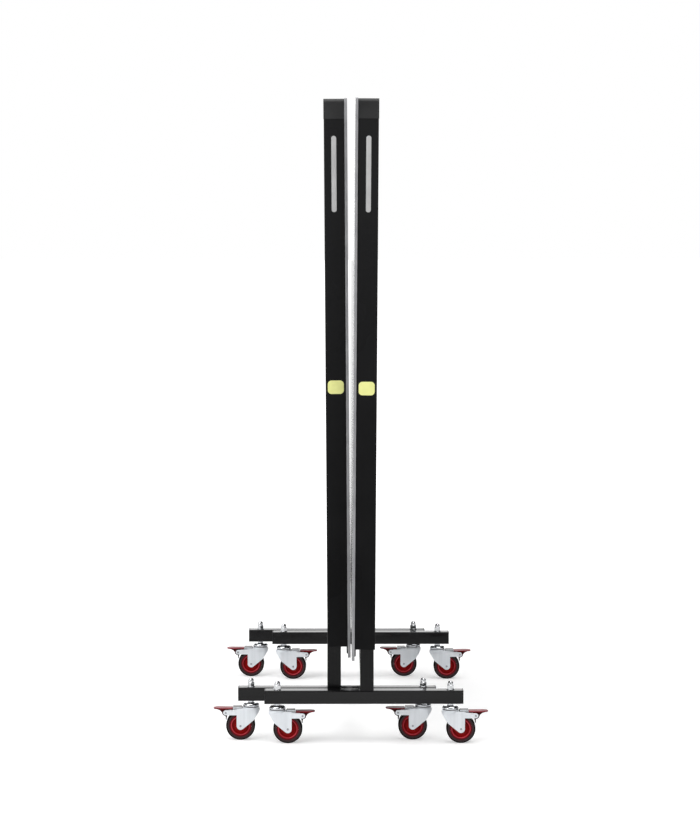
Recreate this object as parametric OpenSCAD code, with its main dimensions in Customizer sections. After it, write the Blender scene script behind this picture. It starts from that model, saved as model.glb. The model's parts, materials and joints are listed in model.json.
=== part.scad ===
// Folding table-tennis table: two roll-away halves, nested for storage.
// The origin is on the floor midway between the halves, with Z up and Y along the net line.
// Every half-part is drawn for the right half; the left half is the same part turned 180 degrees.

/* [Carriage] */
// Length of a foot over its end caps
foot_len = 511; // [480:1:560]
// Outside size of the square carriage tube
tube = 35; // [32:0.5:36]
// Wall of the carriage tube
tube_wall = 2; // [1.5:0.1:3]
// Outside corner radius of the carriage tube
tube_round = 3.5; // [3.2:0.1:5]
// Distance between the two feet of a half
foot_span = 884; // [860:1:940]
// Height of the underside of the feet
foot_under = 103; // [101:0.5:125]
// Distance of a half's feet from the middle plane
foot_shift = 34.4; // [32:0.2:38]
// Distance of a half's posts from the middle plane
post_shift = 42; // [41:0.2:46]
// How far one half sits past the other along the net line when nested
nest = 42.5; // [42.5:0.5:50]
// Height of the lower cross tube above the feet
low_cross_up = 30; // [26:1:60]
// Outside size of the upper cross tube
high_cross = 30; // [20:1:34]
// Height left free between the upper cross tube and the stowed legs
high_cross_gap = 62; // [10:1:120]
// Thickness of an end cap's plate
cap_t = 2.5; // [2:0.1:4]
// How far an end cap's plug reaches into its tube
plug_len = 16; // [8:1:30]

/* [Folding panel] */
// Height of the playing face when the half stands open
play_height = 760; // [750:1:775]
// Length of a half board, from net end to player's end
board_len = 1370; // [1340:1:1400]
// Width of the board
board_w = 1525; // [1480:1:1560]
// Thickness of the board
board_t = 7; // [4:0.5:8]
// Corner radius of the board
board_round = 4; // [1:0.5:8]
// Distance from the pivot line to the playing face
face_up = 38; // [37:0.2:38.6]
// Distance from the pivot to the net end of the board
net_reach = 452; // [440:1:460]
// Outward lean of the stored panel, in degrees
lean = 0.37; // [0.3:0.01:0.5]
// Depth of the apron rails
rail_depth = 50; // [46:0.5:60]
// Width of the apron rails
rail_w = 20; // [14:0.5:24]
// Wall of the apron rails
rail_wall = 1.5; // [1:0.1:2.5]
// Outside corner radius of the apron rails
rail_round = 2.5; // [2:0.1:4]
// How far the board's edge stands past the apron rails
rail_inset = 2; // [0.5:0.5:6]
// How far the net end stands past the side rails
net_overhang = 28; // [20:1:40]
// Depth of the stiffener channels under the board
rib_depth = 12; // [6:0.5:12.4]
// Width of the stiffener channels
rib_w = 30; // [20:1:34]
// Wall of the stiffener channels
rib_wall = 1.5; // [1:0.1:3]
// Number of stiffener channels between the pivots and the leg hinges
rib_count = 3; // [1:1:4]
// Wall of the net end angle
angle_t = 3; // [2:0.5:5]
// Height of the net end angle's flange
angle_flange = 40; // [30:1:60]
// Width of the net end angle's free leg
angle_leg = 12; // [8:1:13]
// How far the board's net end stands past the angle
angle_back = 10; // [4:1:16]

/* [Corner guards] */
// Length of a corner guard along the side rail
guard_len = 50; // [40:1:70]
// Length of a corner guard along the end rail
guard_w = 58; // [40:1:80]
// Outer corner radius of a guard
guard_round = 10; // [4:1:20]
// How far a guard stands proud of the rails' outer faces
guard_proud = 0.6; // [0.2:0.1:1.5]
// How far a guard's plug reaches into its rail
guard_plug = 26; // [10:1:40]

/* [Pivots] */
// Diameter of the main pivot pins
pivot_d = 12; // [10:0.5:14]
// Diameter of the leg and link pins
pin_d = 10; // [8:0.5:12]
// Thickness of the pivot brackets
bracket_t = 3.5; // [2.5:0.1:4]
// Width of the pivot bracket's ears
bracket_w = 44; // [34:1:50]
// How far a bracket's base reaches past its ears
bracket_flange = 24; // [12:1:40]
// Head height of the pins
pin_head = 3; // [2:0.2:4]

/* [Player's end legs] */
// Distance from the main pivot to the leg hinge
leg_reach = 700; // [600:1:740]
// Outside size of the leg tube
leg_tube = 25; // [20:0.5:28]
// Wall of the leg tube
leg_wall = 1.5; // [1.2:0.1:2.5]
// Distance of the legs from the middle of a half
leg_y = 390; // [380:1:394]
// Distance of the leg frame's lower cross tube from the hinge
brace_low = 548; // [400:1:600]
// Distance of the leg frame's upper cross tube from the hinge
brace_high = 170; // [120:1:250]
// Height of a levelling foot below the leg tube
level_h = 20; // [14:1:40]
// Diameter of a levelling foot
level_d = 27; // [20:0.5:28]
// Offset of the link pins below the pivots
link_drop = 60; // [54:1:80]
// Width of a link bar
link_w = 18; // [14:0.5:24]
// Thickness of a link bar
link_t = 5; // [3:0.5:6]
// Distance of the link bars from the middle of a half
link_y = 408.5; // [407.5:0.5:410]

/* [Casters] */
// Distance of a caster stem from the end of its foot
stem_in = 33; // [28:0.5:45]
// Diameter of a wheel over its tyre
wheel_d = 75; // [72:0.5:76]
// Width of a tyre
tyre_w = 23; // [18:0.5:24]
// Height of the tyre's section
tyre_h = 9; // [6:0.5:12]
// Rounding of the tyre's tread edges
tyre_round = 4; // [2:0.5:6]
// Width of the wheel core over its hub
hub_w = 25.2; // [24.6:0.1:25.4]
// Diameter of the wheel's hub boss
hub_d = 24; // [18:0.5:28]
// Radial depth of the core's rim
rim_h = 3.5; // [2:0.5:5]
// Thickness of the core's web
web_t = 9; // [5:0.5:14]
// Distance of the axle behind the swivel axis
trail = 27; // [24:0.5:28]
// Diameter of the axle sleeve
axle_d = 12; // [10:0.5:14]
// Diameter of a caster stem's thread
stem_d = 10; // [8:0.5:12]
// Diameter of the swivel head
head_d = 42; // [40:0.5:42]
// Thickness of the fork's side plates
fork_t = 3; // [2:0.1:3.4]
// Clear width inside the fork
fork_gap = 26; // [25.8:0.1:27]
// Radius of the fork's lobe round the axle
lobe_r = 10; // [9:0.5:12]
// Distance of the brake pivot behind the swivel axis
pedal_x = 65.2; // [64:0.2:67]
// Height of the brake pivot
pedal_z = 72; // [71.5:0.1:72.8]
// Distance of the pedal's tip behind the swivel axis
pedal_tip = 97; // [88:0.5:100]
// Width of the pedal
pedal_w = 30; // [24:0.5:32]
// Diameter of the brake pin
brake_pin_d = 5; // [4:0.5:7]
// Diameter of the axle's riveted ends
rivet_end_d = 5; // [4:0.5:8]

/* [Fasteners] */
// Width across the flats of an acorn nut
nut_flats = 17; // [15:0.5:19]
// Height of an acorn nut's hexagon
nut_h = 10; // [6:0.5:12]
// Diameter of a washer
washer_d = 20; // [18:0.5:28]
// Thickness of a washer
washer_t = 1.6; // [1:0.1:2.5]

/* [Hidden] */
$fn = 48;
SIDES = ["left", "right"];
CORNERS = ["front_left", "front_right", "back_left", "back_right"];
HALF_PARTS = ["board", "side_rails", "cross_rails", "corner_guards", "pivot_brackets", "leg_frame",
    "levellers", "link_bars", "posts", "feet", "cross_tubes", "end_caps", "caster_stems", "acorn_nuts"];
CASTER_PARTS = ["fork", "tyre", "wheel_core", "brake_pedal"];

run_gap = 0.06;      // radial clearance of a pin that turns in its hole
fit_gap = 0.2;       // clearance of a plug in its tube
side_gap = 0.8;      // clearance beside a tube that turns between two ears
weld_gap = 0.1;      // gap left at a weld between two tubes of one frame
past = 1;            // how far a cutting shape runs past the face it cuts
// Carriage
foot_top = foot_under + tube;
foot_y = foot_span / 2;
cap_seat = foot_len / 2 - cap_t;
stem_span = foot_len - 2 * stem_in;
pivot_z = play_height - face_up;
post_top = pivot_z + tube / 2;
post_plug = 6;       // short plug of a post cap, clear of the pivot pin
link_z = pivot_z - link_drop;
// Panel, measured from its pivot: x outwards, z towards the player's end
back = board_t - face_up;
player_end = board_len - net_reach;
rail_y = board_w / 2 - rail_inset - rail_w / 2;
rail_inner = rail_y - rail_w / 2;
rail_low = net_overhang - net_reach;
rail_high = player_end - guard_len;
guard_in = rail_inset - guard_proud;
angle_low = angle_back - net_reach;
angle_high = angle_low + angle_flange;
angle_edge = 8;      // how far the angle's lower strip stays inside the board's edge
rib_clear = 12;      // room between a stiffener and the bracket beside it
rib_beside = bracket_w / 2 + rib_w / 2 + rib_clear;
ribs = concat([-net_reach / 2 - rib_w, -rib_beside],
    [for (i = [1 : rib_count]) leg_reach * i / (rib_count + 1)], [leg_reach + rib_beside]);
ear_r = 12;          // radius of a bracket ear round its pin
head_wide = 3;       // how far a pin head stands past the pin
collar_wide = 3;     // how far a link pin's collar stands past the pin
// Legs, measured from their hinge
leg_len = pivot_z - level_h;
pad_h = 6;           // rim height of a levelling foot
level_stud = 10;     // diameter of a levelling foot's stud
level_plug = 14;     // height of the block that holds the stud in its leg
// Caster, measured from its stem axis with the wheel trailing along +X
wheel_r = wheel_d / 2;
core_r = wheel_r - tyre_h;
seat_gap = 0.1;      // gap between the tyre and its core
fork_w = fork_gap + 2 * fork_t;
crown_clear = 5;      // gap between the tyre and the fork's crown
bridge_z = wheel_d + crown_clear;
bridge_t = 3;
cup_z = bridge_z + bridge_t;
cup_h = 3.8;         // height of the turning cup
race_gap = 0.5;      // gap between the turning cup and the fixed race
race_z = cup_z + cup_h + race_gap;
race_h = 9.2;        // height of the fixed race
race_lip = 1;        // bevel of the fixed race's lower edge
race_edge = 3.5;     // bevel of its upper edge
head_r = head_d / 2;
cup_r = head_r - 0.5;
cup_edge = 1;        // bevel of the turning cup's edges
neck_r = 7.5;        // radius of the head's neck under the foot
rivet_d = 17;        // head that holds the fork on the stem
rivet_h = 4;
pin_proud = 0.8;     // how far the axle and the brake pin stand out of the fork
arm_r = 6.5;         // radius of the fork's arm round the brake pin
arc_steps = 12;      // flats in each rounded end of the fork's side
brow = [-6.5, 52]; // where the fork's front edge turns towards the axle
cheek = [-19.6, 72]; // where that edge turns up towards the crown
bow_x = 6.6;         // how far the fork's round front is centred ahead of the stem
front_x = bow_x + fork_w / 2;
heel_x = trail + lobe_r;
slab_clear = 1.9;    // room between the fork's arm and the pedal's tread
slab_z = pedal_z + arm_r + slab_clear;
slab_in = 47.2;      // inner end of the pedal's tread
slab_h = 3.2;
slab_nose = 6;       // length of the rounding at the tread's inner end
slab_round = 2;      // rounding of the inner end's corners
slab_rise = 0.6;     // how far the tread's underside rises to its tip
tongue_in = 24;      // inner end of the tongue between the swivel head and the pedal
tongue_w = 24;
tongue_h = 3.5;
boss_r = arm_r - 0.5;
gusset_in = 4;       // how far the gusset reaches inwards of the boss
gusset_out = 8;      // how far the gusset stays short of the tip
gusset_waist = [pedal_x + 11.6, pedal_z + 1.7];
shoe_gap = 3;        // gap between the released brake shoe and the tyre
shoe_r = 4;
shoe_angle = 24;     // direction of the shoe, seen from the axle
shoe = [trail, wheel_r] + (wheel_r + shoe_gap + shoe_r) * [cos(shoe_angle), sin(shoe_angle)];
nut_bore = stem_d / 2 + 0.1;
dome_d = nut_flats - 2;
dome_up = 4;         // height of the dome's plain foot
bore_up = 2;         // how far the nut's bore runs up into its dome
rim_w = tyre_w - 2;

function flip(side) = side == "left" ? -1 : 1;
function at_right(corner) = corner == "front_right" || corner == "back_right" ? 1 : -1;
function at_back(corner) = corner == "back_left" || corner == "back_right" ? 1 : -1;

// ---------- places ----------
module turned(side) rotate([0, 0, side == "left" ? 180 : 0]) children();
module in_half() translate([0, -nest / 2, 0]) children();
module in_panel() in_half() translate([post_shift, 0, pivot_z]) rotate([0, lean, 0]) children();
module in_legs() in_panel() translate([0, 0, leg_reach]) rotate([0, -lean, 0]) children();
module at_caster(side, corner)
    translate([flip(side) * foot_shift + at_right(corner) * stem_span / 2,
               at_back(corner) * foot_y - flip(side) * nest / 2, 0])
        turned(side) children();
module each_foot() in_half() for (s = [-1, 1]) translate([foot_shift, s * foot_y, 0]) children();
module each_post() in_half() for (s = [-1, 1]) translate([post_shift, s * foot_y, 0]) children();
module each_stem() each_foot() for (s = [-1, 1]) translate([s * stem_span / 2, 0, 0]) children();

// ---------- shapes ----------
module rounded(w, h, r) {
    square([w, h - 2 * r], center = true);
    square([w - 2 * r, h], center = true);
    for (x = [-1, 1], y = [-1, 1])
        translate([x * (w / 2 - r), y * (h / 2 - r)]) circle(r);
}
module tube_section(w, h, wall, r) difference() {
    rounded(w, h, r);
    rounded(w - 2 * wall, h - 2 * wall, r - wall);
}
module tube_bar(length, w, h, wall, r) linear_extrude(length) tube_section(w, h, wall, r);
module along_x() rotate([0, 90, 0]) children();
module along_y(length) translate([0, -length / 2, 0]) rotate([-90, 0, 0]) children();
module pin_y(d, length) rotate([90, 0, 0]) cylinder(d = d, h = length, center = true);
// A side profile, x across and z up, made into a plate of thickness t about y = 0
module plate_y(t) rotate([90, 0, 0]) linear_extrude(t, center = true) children();
module headed_pin(d, length) {
    pin_y(d, length);
    for (s = [-1, 1]) translate([0, s * (length + pin_head) / 2, 0]) pin_y(d + 2 * head_wide, pin_head);
}

// ---------- carriage ----------
module feet() color("#1c1c1e") each_foot() translate([0, 0, foot_under + tube / 2]) difference() {
    translate([-cap_seat, 0, 0]) along_x() tube_bar(2 * cap_seat, tube, tube, tube_wall, tube_round);
    for (s = [-1, 1]) translate([s * stem_span / 2, 0, 0])
        cylinder(r = nut_bore, h = tube + 2 * past, center = true);
}
module posts() color("#1c1c1e") each_post() difference() {
    translate([0, 0, foot_top]) tube_bar(post_top - cap_t - foot_top, tube, tube, tube_wall, tube_round);
    translate([0, 0, pivot_z]) pin_y(pivot_d + 2 * run_gap, tube + 2 * past);
    translate([0, 0, link_z]) pin_y(pin_d + 2 * run_gap, tube + 2 * past);
}
module cross_tubes() color("#1c1c1e") in_half() translate([post_shift, 0, foot_top]) {
    translate([0, 0, low_cross_up + tube / 2]) along_y(2 * foot_y - tube)
        tube_bar(2 * foot_y - tube, tube, tube, tube_wall, tube_round);
    translate([0, 0, leg_reach - high_cross_gap - high_cross / 2 - foot_top]) along_y(2 * foot_y - tube)
        tube_bar(2 * foot_y - tube, high_cross, high_cross, tube_wall, tube_round);
}
// A plate over a tube's end with a plug behind it, the plate's outer face at z = 0
module tube_cap(plug) mirror([0, 0, 1]) {
    linear_extrude(cap_t) rounded(tube, tube, tube_round);
    inner = tube - 2 * (tube_wall + fit_gap);
    linear_extrude(cap_t + plug) rounded(inner, inner, tube_round - tube_wall);
}
module end_caps() color("#161617") {
    each_foot() for (s = [0, 180]) rotate([0, 0, s])
        translate([foot_len / 2, 0, foot_under + tube / 2]) along_x() tube_cap(plug_len);
    each_post() translate([0, 0, post_top]) tube_cap(post_plug);
}

// ---------- folding panel ----------
module board() color("#2b2d30") in_panel() translate([-face_up, 0, (player_end - net_reach) / 2])
    along_x() linear_extrude(board_t) rounded(board_len, board_w, board_round);
module side_rails() color("#1c1c1e") in_panel() for (s = [-1, 1])
    translate([back + rail_depth / 2, s * rail_y, rail_low]) difference() {
        linear_extrude(rail_high - rail_low) rounded(rail_depth, rail_w, rail_round);
        translate([0, 0, rail_wall]) linear_extrude(rail_high - rail_low)
            rounded(rail_depth - 2 * rail_wall, rail_w - 2 * rail_wall, rail_round - rail_wall);
    }
module rib() translate([back, rail_inner, 0]) rotate([90, 0, 0])
    linear_extrude(2 * rail_inner) difference() {
        translate([0, -rib_w / 2]) square([rib_depth, rib_w]);
        translate([-past, rib_wall - rib_w / 2])
            square([rib_depth - rib_wall + past, rib_w - 2 * rib_wall]);
    }
module net_angle() {
    inner = 2 * (rail_inner - fit_gap);
    outer = board_w - 2 * angle_edge;
    translate([back, -inner / 2, angle_low]) cube([angle_t, inner, angle_flange]);
    translate([back, -inner / 2, angle_high - angle_t]) cube([angle_leg, inner, angle_t]);
    translate([back, -outer / 2, angle_low]) cube([angle_t, outer, rail_low - fit_gap - angle_low]);
}
module end_rail() {
    length = board_w - 2 * guard_w;
    translate([back + rail_depth / 2, 0, player_end - rail_inset - rail_w / 2]) along_y(length)
        tube_bar(length, rail_depth, rail_w, rail_wall, rail_round);
}
module cross_rails() color("#1c1c1e") in_panel() {
    for (z = ribs) translate([0, 0, z]) rib();
    net_angle();
    end_rail();
}
module guard_outline() {
    wide = guard_w - guard_in;
    tall = guard_len - guard_in;
    intersection() {
        square([wide, tall]);
        union() {
            square([wide - guard_round, tall]);
            square([wide, tall - guard_round]);
            translate([wide - guard_round, tall - guard_round]) circle(guard_round);
        }
    }
}
module guard() {
    wide = rail_w - 2 * (rail_wall + fit_gap);
    deep = rail_depth - 2 * (rail_wall + fit_gap);
    mid = back + rail_depth / 2;
    translate([back, board_w / 2 - guard_w, rail_high]) rotate([90, 0, 90])
        linear_extrude(rail_depth + guard_proud) guard_outline();
    translate([mid, rail_y, rail_high - guard_plug])
        linear_extrude(guard_plug + past) rounded(deep, wide, rail_round - rail_wall);
    translate([mid, board_w / 2 - guard_w + past, player_end - rail_inset - rail_w / 2]) rotate([90, 0, 0])
        linear_extrude(guard_plug + past) rounded(deep, wide, rail_round - rail_wall);
}
module corner_guards() color("#313133") in_panel() for (s = [0, 1]) mirror([0, s, 0]) guard();
// A base on the board's back with two ears that take a tube of the given width, and its pin
module hinge_bracket(width, d) {
    inside = width + 2 * side_gap;
    outside = inside + 2 * bracket_t;
    difference() {
        union() {
            for (s = [-1, 1]) translate([0, s * (inside + bracket_t) / 2, 0]) plate_y(bracket_t) {
                circle(ear_r);
                polygon([[back, -bracket_w / 2], [back, bracket_w / 2], [0, ear_r], [0, -ear_r]]);
            }
            translate([back, -outside / 2 - bracket_flange, -bracket_w / 2])
                cube([bracket_t, outside + 2 * bracket_flange, bracket_w]);
        }
        pin_y(d + 2 * run_gap, outside + 2 * past);
    }
    headed_pin(d, outside + 2 * run_gap);
}
module pivot_brackets() color("#2a2a2c") in_panel() for (s = [-1, 1]) {
    translate([0, s * foot_y, 0]) hinge_bracket(tube, pivot_d);
    translate([0, s * leg_y, leg_reach]) hinge_bracket(leg_tube, pin_d);
}

// ---------- player's end legs and their links ----------
module leg() difference() {
    translate([0, 0, -leg_len]) tube_bar(leg_len + leg_tube / 2, leg_tube, leg_tube, leg_wall, rail_round);
    for (z = [0, -link_drop]) translate([0, 0, z]) pin_y(pin_d + 2 * run_gap, leg_tube + 2 * past);
}
module leg_frame() color("#1c1c1e") in_legs() {
    brace = 2 * leg_y - leg_tube - 2 * weld_gap;
    for (s = [-1, 1]) translate([0, s * leg_y, 0]) leg();
    for (z = [-brace_high, -brace_low]) translate([0, 0, z])
        along_y(brace) tube_bar(brace, leg_tube, leg_tube, leg_wall, rail_round);
}
module leveller() {
    plug = leg_tube - 2 * (leg_wall + fit_gap);
    cylinder(d = level_d, h = pad_h);
    translate([0, 0, pad_h]) cylinder(d1 = level_d, d2 = level_stud, h = pad_h);
    cylinder(d = level_stud, h = level_h + past);
    translate([0, 0, level_h]) linear_extrude(level_plug) rounded(plug, plug, rail_round - leg_wall);
}
module levellers() color("#161617") in_legs() for (s = [-1, 1])
    translate([0, s * leg_y, -leg_len - level_h]) leveller();
// A flat bar whose foot pin turns in the post and whose head pin turns in the leg
module link_bar() {
    post_face = foot_y - tube / 2 - link_y;
    post_far = post_face + tube + side_gap;
    leg_face = link_y - leg_y - leg_tube / 2;
    leg_far = leg_face + leg_tube + side_gap;
    plate_y(link_t) {
        for (z = [0, leg_reach]) translate([0, z]) circle(d = link_w);
        translate([-link_w / 2, 0]) square([link_w, leg_reach]);
    }
    rotate([-90, 0, 0]) cylinder(d = pin_d, h = post_far + pin_head);
    rotate([-90, 0, 0]) cylinder(d = pin_d + 2 * collar_wide, h = post_face - side_gap);
    translate([0, post_far, 0]) rotate([-90, 0, 0]) cylinder(d = pin_d + 2 * head_wide, h = pin_head);
    translate([0, 0, leg_reach]) rotate([90, 0, 0]) {
        cylinder(d = pin_d, h = leg_far + pin_head);
        cylinder(d = pin_d + 2 * collar_wide, h = leg_face - side_gap);
        translate([0, 0, leg_far]) cylinder(d = pin_d + 2 * head_wide, h = pin_head);
    }
}
module link_bars() color("#2a2a2c") in_half() translate([post_shift, 0, link_z]) rotate([0, lean, 0])
    for (s = [0, 1]) mirror([0, s, 0]) translate([0, link_y, 0]) link_bar();

// ---------- casters ----------
module caster_stem() {
    translate([0, 0, bridge_z - race_gap - rivet_h]) cylinder(d = rivet_d, h = rivet_h);
    translate([0, 0, bridge_z - race_gap - past])
        cylinder(d = stem_d, h = foot_top + washer_t + nut_h + past + race_gap - bridge_z);
    rotate_extrude() polygon([[0, race_z], [head_r - race_lip, race_z], [head_r, race_z + race_lip],
        [head_r, race_z + race_h - race_edge], [head_r - race_edge, race_z + race_h],
        [neck_r, race_z + race_h], [neck_r, foot_under], [0, foot_under]]);
}
module caster_stems() color("#c9cdd1") each_stem() caster_stem();
module acorn_nut() difference() {
    union() {
        cylinder(d = washer_d, h = washer_t);
        translate([0, 0, washer_t]) cylinder(d = nut_flats / cos(30), h = nut_h, $fn = 6);
        translate([0, 0, washer_t + nut_h]) cylinder(d = dome_d, h = dome_up);
        translate([0, 0, washer_t + nut_h + dome_up]) sphere(d = dome_d);
    }
    translate([0, 0, -past]) cylinder(r = nut_bore, h = washer_t + nut_h + past + bore_up);
}
module acorn_nuts() color("#c9cdd1") each_stem() translate([0, 0, foot_top]) acorn_nut();
// Direction from c to the point where a line from p touches the circle of radius r round c
function touch(p, c, r, turn) = atan2(p.y - c.y, p.x - c.x) + turn * acos(r / norm(p - c));
function arc(c, r, from, to) =
    [for (i = [0 : arc_steps]) let (a = from + (to - from) * i / arc_steps) c + r * [cos(a), sin(a)]];
module fork_side() {
    axle = [trail, wheel_r];
    brake = [pedal_x, pedal_z];
    nape = [heel_x, bridge_z];
    elbow = [heel_x, pedal_z - arm_r];
    polygon(concat([[heel_x, cup_z], [-front_x - past, cup_z], [-front_x - past, bridge_z], cheek, brow],
        arc(axle, lobe_r, touch(brow, axle, lobe_r, 1), 360), [elbow],
        arc(brake, arm_r, touch(elbow, brake, arm_r, 1), touch(nape, brake, arm_r, -1)), [nape]));
}
// Plan of the fork, its two straight sides joined by a round front
module fork_plan(inset) {
    wide = fork_w - 2 * inset;
    translate([-bow_x, -wide / 2]) square([bow_x + pedal_x + 2 * arm_r, wide]);
    translate([-bow_x, 0]) circle(d = wide);
}
module fork() color("#d4d8dc") difference() {
    union() {
        difference() {
            intersection() {
                linear_extrude(cup_z + past) fork_plan(0);
                plate_y(fork_w + past) fork_side();
            }
            translate([0, 0, -past]) linear_extrude(bridge_z + past) fork_plan(fork_t);
        }
        translate([0, 0, bridge_z]) linear_extrude(bridge_t) circle(d = head_d);
        translate([0, 0, cup_z - past]) cylinder(r = cup_r - 2 * cup_edge, h = 2 * past);
        translate([0, 0, cup_z]) rotate_extrude() polygon([[0, 0], [cup_r - cup_edge, 0],
            [cup_r, cup_edge], [cup_r, cup_h - cup_edge], [cup_r - cup_edge, cup_h], [0, cup_h]]);
        translate([tongue_in, -tongue_w / 2, bridge_z + past])
            cube([slab_in - side_gap - tongue_in, tongue_w, bridge_t + tongue_h - past]);
        translate([trail, 0, wheel_r]) {
            pin_y(axle_d, fork_gap + fork_t);
            pin_y(rivet_end_d, fork_w + 2 * pin_proud);
        }
        translate([pedal_x, 0, pedal_z]) pin_y(brake_pin_d, fork_w + 2 * pin_proud);
    }
    translate([0, 0, bridge_z - past]) cylinder(r = stem_d / 2 + run_gap, h = race_z + past);
}
module tyre() color("#2a2627") translate([trail, 0, wheel_r]) rotate([90, 0, 0]) rotate_extrude() {
    flat = core_r + seat_gap;
    translate([flat, -tyre_w / 2]) square([wheel_r - tyre_round - flat, tyre_w]);
    translate([flat, tyre_round - tyre_w / 2]) square([wheel_r - flat, tyre_w - 2 * tyre_round]);
    for (s = [-1, 1]) translate([wheel_r - tyre_round, s * (tyre_w / 2 - tyre_round)]) circle(tyre_round);
}
module wheel_core() color("#b3151b") translate([trail, 0, wheel_r]) rotate([90, 0, 0]) rotate_extrude() {
    bore = axle_d / 2 + run_gap;
    translate([core_r - rim_h, -rim_w / 2]) square([rim_h, rim_w]);
    translate([bore, -web_t / 2]) square([core_r - past - bore, web_t]);
    translate([bore, -hub_w / 2]) square([hub_d / 2 - bore, hub_w]);
}
// Side profile of the pedal's tread, thinner towards its tip
module pedal_side() polygon([[slab_in, slab_z], [pedal_tip, slab_z + slab_rise],
    [pedal_tip, slab_z + slab_h], [slab_in, slab_z + slab_h]]);
// Side profile of the boss round the pedal's pin, the shoe for the tyre and the gusset under the tread
module pedal_boss() {
    inner = [pedal_x - boss_r, pedal_z];
    outer = [pedal_x + boss_r, pedal_z];
    translate([pedal_x, pedal_z]) circle(boss_r);
    translate(shoe) circle(shoe_r);
    polygon([inner, shoe - [shoe_r, 0], shoe + [shoe_r, 0], outer]);
    polygon([[pedal_x - arm_r - gusset_in, slab_z + past], inner, shoe + [shoe_r, 0], gusset_waist,
        [pedal_tip - gusset_out, slab_z + past]]);
}
module pedal_plan() {
    straight = pedal_tip - slab_in - slab_nose / 2 - pedal_w / 2;
    translate([slab_in + slab_nose / 2, 0]) rounded(slab_nose, pedal_w, slab_round);
    translate([slab_in + slab_nose / 2, -pedal_w / 2]) square([straight, pedal_w]);
    translate([pedal_tip - pedal_w / 2, 0]) circle(d = pedal_w);
}
module brake_pedal() color("#c4161c") difference() {
    union() {
        intersection() {
            plate_y(pedal_w + past) pedal_side();
            translate([0, 0, slab_z - past]) linear_extrude(slab_h + 2 * past) pedal_plan();
        }
        plate_y(fork_gap - 2 * side_gap) pedal_boss();
    }
    translate([pedal_x, 0, pedal_z]) pin_y(brake_pin_d + 2 * run_gap, pedal_w + past);
}

// ---------- nodes ----------
module half_part(part) {
    if (part == "board") board();
    if (part == "side_rails") side_rails();
    if (part == "cross_rails") cross_rails();
    if (part == "corner_guards") corner_guards();
    if (part == "pivot_brackets") pivot_brackets();
    if (part == "leg_frame") leg_frame();
    if (part == "levellers") levellers();
    if (part == "link_bars") link_bars();
    if (part == "posts") posts();
    if (part == "feet") feet();
    if (part == "cross_tubes") cross_tubes();
    if (part == "end_caps") end_caps();
    if (part == "caster_stems") caster_stems();
    if (part == "acorn_nuts") acorn_nuts();
}
module caster_part(part) {
    if (part == "fork") fork();
    if (part == "tyre") tyre();
    if (part == "wheel_core") wheel_core();
    if (part == "brake_pedal") brake_pedal();
}
for (side = SIDES, part = HALF_PARTS)
    turned(side) half_part(part);
for (side = SIDES, corner = CORNERS, part = CASTER_PARTS)
    at_caster(side, corner) caster_part(part);
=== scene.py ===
"""Folding table-tennis table, stored upright: its finishes, small fittings, camera and light."""
import json
import math

import bmesh
import bpy
import numpy as np
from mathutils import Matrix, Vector


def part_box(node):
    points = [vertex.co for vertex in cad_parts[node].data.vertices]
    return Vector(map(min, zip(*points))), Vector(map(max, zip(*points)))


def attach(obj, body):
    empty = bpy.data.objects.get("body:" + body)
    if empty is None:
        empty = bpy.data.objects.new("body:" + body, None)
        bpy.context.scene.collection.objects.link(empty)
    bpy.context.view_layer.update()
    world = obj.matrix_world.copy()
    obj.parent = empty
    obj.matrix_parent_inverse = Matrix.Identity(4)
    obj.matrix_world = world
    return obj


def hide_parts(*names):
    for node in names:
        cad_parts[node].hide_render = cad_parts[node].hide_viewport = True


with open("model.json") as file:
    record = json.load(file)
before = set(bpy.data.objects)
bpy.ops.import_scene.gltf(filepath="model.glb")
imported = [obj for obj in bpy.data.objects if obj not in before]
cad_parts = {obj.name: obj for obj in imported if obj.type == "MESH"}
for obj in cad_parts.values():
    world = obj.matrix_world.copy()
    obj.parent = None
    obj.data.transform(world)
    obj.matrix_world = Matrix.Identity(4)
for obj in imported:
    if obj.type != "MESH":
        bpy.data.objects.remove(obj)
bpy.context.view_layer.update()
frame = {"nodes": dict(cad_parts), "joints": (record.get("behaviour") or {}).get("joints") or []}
NODES = frame["nodes"]
JOINTS = {joint["name"]: joint for joint in frame["joints"]}

MM = 0.001
SIDES = ("left", "right")
CORNERS = ("front_left", "front_right", "back_left", "back_right")
LEAN = math.radians(0.37)  # outward lean of each stored panel
PI = math.pi


def facing(side):
    """1 for the right half, whose outer face looks along +X, and -1 for the left half."""
    return 1 if side == "right" else -1


def joint_at(name):
    """The place of a joint's axis in the frame, in metres."""
    return np.array(JOINTS[name]["pos_m"], float)


# ---------------------------------------------------------------- camera

LENS = 114.4  # millimetres on a 36 mm sensor
CAMERA_PLACE = (-0.0403, -7.2341, 1.4486)
CAMERA_DIP = 0.09058  # radians below level
CAMERA_TURN = 0.00577  # radians to the right


def make_camera():
    """A long lens about seven metres off, a little above the table's top, looking slightly down."""
    data = bpy.data.cameras.new("camera")
    camera = bpy.data.objects.new("camera", data)
    bpy.context.scene.collection.objects.link(camera)
    data.lens = LENS
    data.sensor_width = 36
    data.clip_end = 200
    camera.location = CAMERA_PLACE
    camera.rotation_euler = (PI / 2 - CAMERA_DIP, 0, -CAMERA_TURN)
    bpy.context.scene.camera = camera


make_camera()


# ---------------------------------------------------------------- materials

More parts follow.
